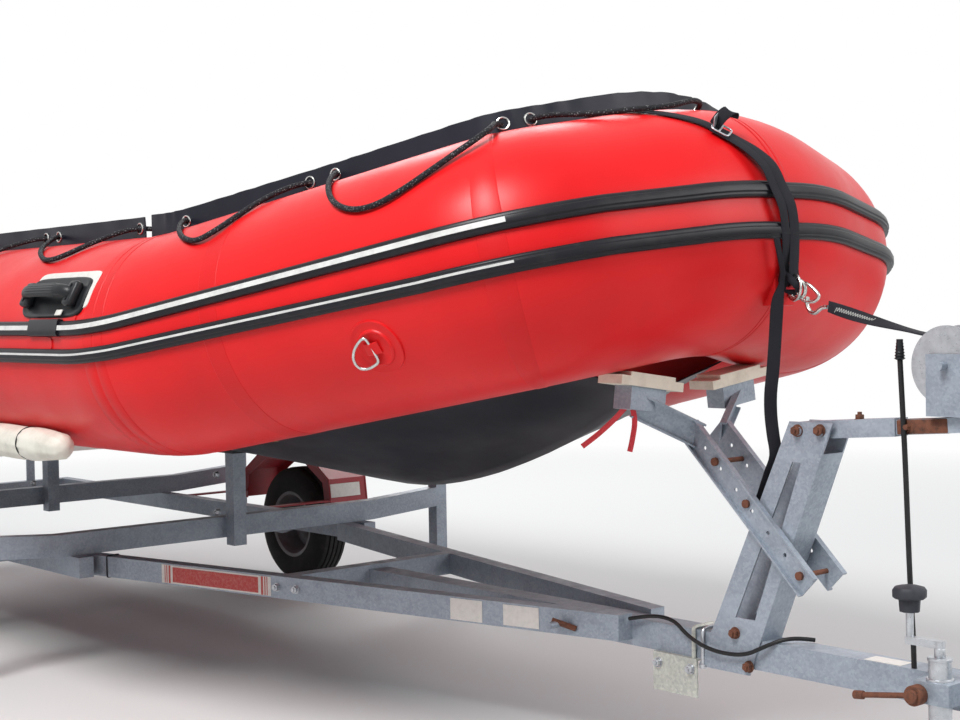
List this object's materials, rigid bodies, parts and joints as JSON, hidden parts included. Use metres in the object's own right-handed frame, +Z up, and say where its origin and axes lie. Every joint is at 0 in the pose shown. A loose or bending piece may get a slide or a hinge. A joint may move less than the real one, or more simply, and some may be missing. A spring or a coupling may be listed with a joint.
{
  "type": "inflatable boat with soft fabric bottom, carried on a single axle road trailer",
  "caption": "Red inflatable boat with black strakes, rope lifeline and fabric bottom, strapped on a galvanised single axle trailer with winch post and jockey wheel",
  "frame": {"origin": "on the ground under the centre of the overall box, between the wheels and the jockey wheel", "axes": "+X forward to the bow and the coupling, +Y to port, +Z up"},
  "size_m": [5.76, 2.14, 1.6905],
  "materials": {
    "tube_red": "satin",
    "strake_rubber": "satin",
    "hull_black": "satin",
    "flap_black": "satin",
    "deck_plywood": "satin",
    "rope_black": "matte",
    "moulded_black": "satin",
    "ring_steel": "polished",
    "webbing_black": "matte",
    "galvanised": "satin",
    "guard_red": "satin",
    "tyre_rubber": "matte",
    "bunk_white": "satin",
    "pad_white": "satin",
    "rust": "matte",
    "lamp_red": "polished",
    "cable_black": "satin",
    "jockey_rubber": "matte"
  },
  "bodies": {
    "root": {"axle": "galvanised", "bow_ring": "ring_steel", "bunk_port": "bunk_white", "bunk_posts": "galvanised", "bunk_starboard": "bunk_white", "coupling_handle": "galvanised", "coupling_head": "galvanised", "cross_beam_front": "galvanised", "cross_beam_rear": "galvanised", "down_strap": "webbing_black", "drawbar": "galvanised", "drawbar_cable": "cable_black", "drop_bracket": "galvanised", "flap_aft": "flap_black", "flap_forward": "flap_black", "floor": "deck_plywood", "frame_brace": "galvanised", "handles_port": "moulded_black", "handles_starboard": "moulded_black", "hanging_lead": "cable_black", "hull_bottom": "hull_black", "jack_clamp": "galvanised", "jack_tube": "galvanised", "keel_pads": "moulded_black", "keel_posts": "galvanised", "lamp_board": "pad_white", "lifeline_port": "rope_black", "lifeline_starboard": "rope_black", "mudguard_port": "guard_red", "mudguard_starboard": "guard_red", "side_rail_port": "galvanised", "side_rail_starboard": "galvanised", "slant_beam_port": "galvanised", "slant_beam_starboard": "galvanised", "snap_hook": "ring_steel", "snub_arm_port": "galvanised", "snub_arm_starboard": "galvanised", "snub_pads": "pad_white", "snub_rods": "rust", "strake_lower": "strake_rubber", "strake_upper": "strake_rubber", "tail_beam": "galvanised", "tie_strap": "webbing_black", "towing_rings": "ring_steel", "transom": "deck_plywood", "tube_bow": "tube_red", "tube_port": "tube_red", "tube_starboard": "tube_red", "winch_arm": "galvanised", "winch_drum": "galvanised", "winch_frame": "galvanised", "winch_post": "galvanised", "winch_strap": "webbing_black"},
    "wheel_starboard": {"rim_starboard": "galvanised", "tyre_starboard": "tyre_rubber"},
    "wheel_port": {"rim_port": "galvanised", "tyre_port": "tyre_rubber"},
    "jack_leg": {"jack_leg": "galvanised"},
    "jockey_caster": {"jockey_fork": "galvanised"},
    "jockey_wheel": {"jockey_wheel": "jockey_rubber"}
  },
  "joints": [
    {"name": "wheel_starboard_spin", "type": "hinge", "parent": "root", "child": "wheel_starboard", "pos_m": [-1.37, -0.976, 0.245], "axis": [0, 1, 0], "continuous": true},
    {"name": "wheel_port_spin", "type": "hinge", "parent": "root", "child": "wheel_port", "pos_m": [-1.37, 0.976, 0.245], "axis": [0, 1, 0], "continuous": true},
    {"name": "jack_slide", "type": "slide", "parent": "root", "child": "jack_leg", "axis": [0, 0, 1], "range_m": [-0.14, 0.02]},
    {"name": "jockey_swivel", "type": "hinge", "parent": "jack_leg", "child": "jockey_caster", "pos_m": [2.49, -0.09, 0.19], "axis": [0, 0, 1], "continuous": true},
    {"name": "jockey_spin", "type": "hinge", "parent": "jockey_caster", "child": "jockey_wheel", "pos_m": [2.44, -0.09, 0.08], "axis": [0, 1, 0], "continuous": true}
  ]
}
